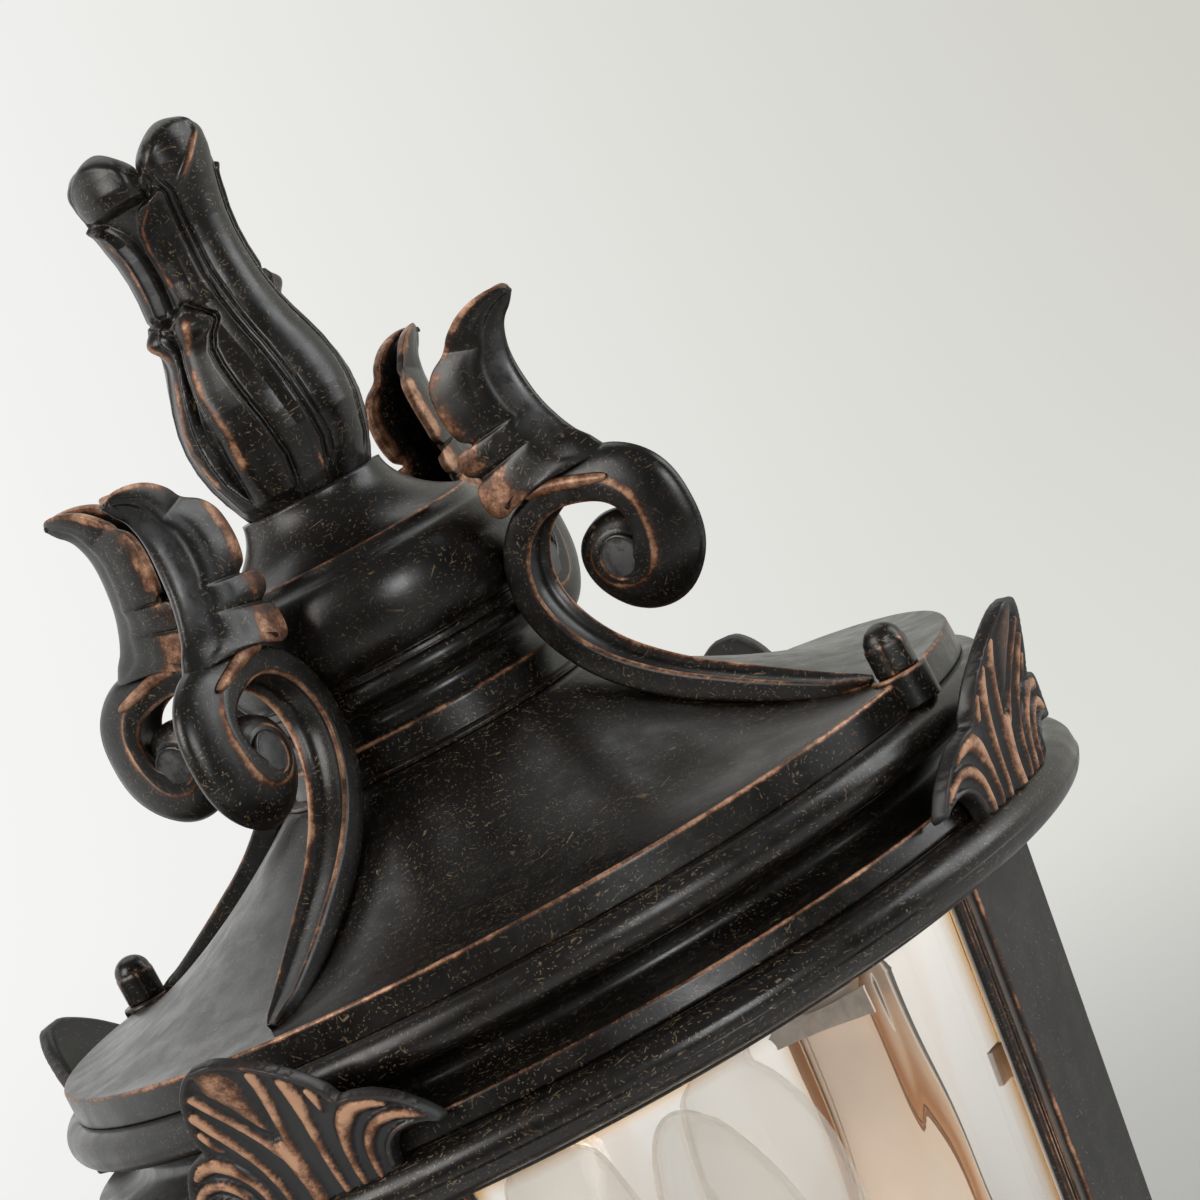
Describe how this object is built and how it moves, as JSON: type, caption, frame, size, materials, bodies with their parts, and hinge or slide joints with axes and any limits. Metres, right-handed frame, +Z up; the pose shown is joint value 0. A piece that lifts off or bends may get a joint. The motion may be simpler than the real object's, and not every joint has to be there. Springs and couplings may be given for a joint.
{
  "type": "pedestal light",
  "caption": "Round bronze pedestal lantern: bell roof with scroll brackets and a bud finial, crested cornice, tapering cage of rippled glass round candle lamps, turned foot.",
  "frame": {"origin": "on the ground in the middle of the round foot", "axes": "+Z up the lantern's axis to the finial; the posts stand on the diagonals of X and Y"},
  "size_m": [0.259, 0.259, 0.6155],
  "materials": {
    "bronze_finish": "cast aluminium, antiqued dark bronze with gold flecks, satin",
    "worn_bronze": "cast aluminium, antiqued dark bronze rubbed to copper on its edges, satin",
    "nut_bronze": "brass, dark bronze plate, satin",
    "plated_steel": "zinc plated",
    "champagne_glass": "clear champagne glass with a rippled inner face",
    "lampholder": "moulded lampholder, glossy",
    "ivory_sleeve": "ivory candle sleeve, matte",
    "bulb_glass": "candle bulb, clear glass with a nickel screw base"
  },
  "bodies": {
    "lantern": {"pedestal_foot": "bronze_finish", "pedestal_stem": "bronze_finish", "lower_bowl": "bronze_finish", "lower_ring": "bronze_finish", "lamp_pipe": "plated_steel", "foot_nut": "plated_steel", "bowl_nut": "plated_steel", "plate_nut": "plated_steel", "ring_screws": "plated_steel", "post_screws": "plated_steel", "lamp_plate": "bronze_finish", "glass_strips": "worn_bronze", "glass_clips": "plated_steel", "cornice_ring": "bronze_finish", "roof_studs": "plated_steel", "post_1": "bronze_finish", "post_2": "bronze_finish", "post_3": "bronze_finish", "post_4": "bronze_finish", "glass_panel_1": "champagne_glass", "glass_panel_2": "champagne_glass", "glass_panel_3": "champagne_glass", "glass_panel_4": "champagne_glass", "crest_1": "worn_bronze", "crest_2": "worn_bronze", "crest_3": "worn_bronze", "crest_4": "worn_bronze", "socket_1": "lampholder", "socket_2": "lampholder", "socket_3": "lampholder", "candle_sleeve_1": "ivory_sleeve", "candle_sleeve_2": "ivory_sleeve", "candle_sleeve_3": "ivory_sleeve"},
    "roof": {"roof": "bronze_finish", "crown": "bronze_finish", "finial_rod": "plated_steel", "rod_nut": "plated_steel", "scroll_1": "worn_bronze", "scroll_2": "worn_bronze", "scroll_3": "worn_bronze", "scroll_4": "worn_bronze"},
    "finial": {"finial": "bronze_finish"},
    "cap_nut_1": {"cap_nut_1": "nut_bronze"},
    "cap_nut_2": {"cap_nut_2": "nut_bronze"},
    "bulb_1": {"bulb_1": "bulb_glass"},
    "bulb_2": {"bulb_2": "bulb_glass"},
    "bulb_3": {"bulb_3": "bulb_glass"}
  },
  "joints": [
    {"name": "roof_lift", "type": "slide", "parent": "lantern", "child": "roof", "axis": [0, 0, 1], "range_m": [0, 0.12]},
    {"name": "finial_turn", "type": "hinge", "parent": "roof", "child": "finial", "pos_m": [0, 0, 0.5315], "axis": [0, 0, 1], "continuous": true},
    {"name": "cap_nut_1_turn", "type": "hinge", "parent": "roof", "child": "cap_nut_1", "pos_m": [-0.07843, 0.08411, 0.4306], "axis": [0, 0, 1], "continuous": true},
    {"name": "cap_nut_2_turn", "type": "hinge", "parent": "roof", "child": "cap_nut_2", "pos_m": [0.07843, -0.08411, 0.4306], "axis": [0, 0, 1], "continuous": true},
    {"name": "bulb_1_turn", "type": "hinge", "parent": "lantern", "child": "bulb_1", "pos_m": [0.02338, 0.0135, 0.281], "axis": [0, 0, 1], "continuous": true},
    {"name": "bulb_2_turn", "type": "hinge", "parent": "lantern", "child": "bulb_2", "pos_m": [-0.02338, 0.0135, 0.281], "axis": [0, 0, 1], "continuous": true},
    {"name": "bulb_3_turn", "type": "hinge", "parent": "lantern", "child": "bulb_3", "pos_m": [0, -0.027, 0.281], "axis": [0, 0, 1], "continuous": true}
  ]
}
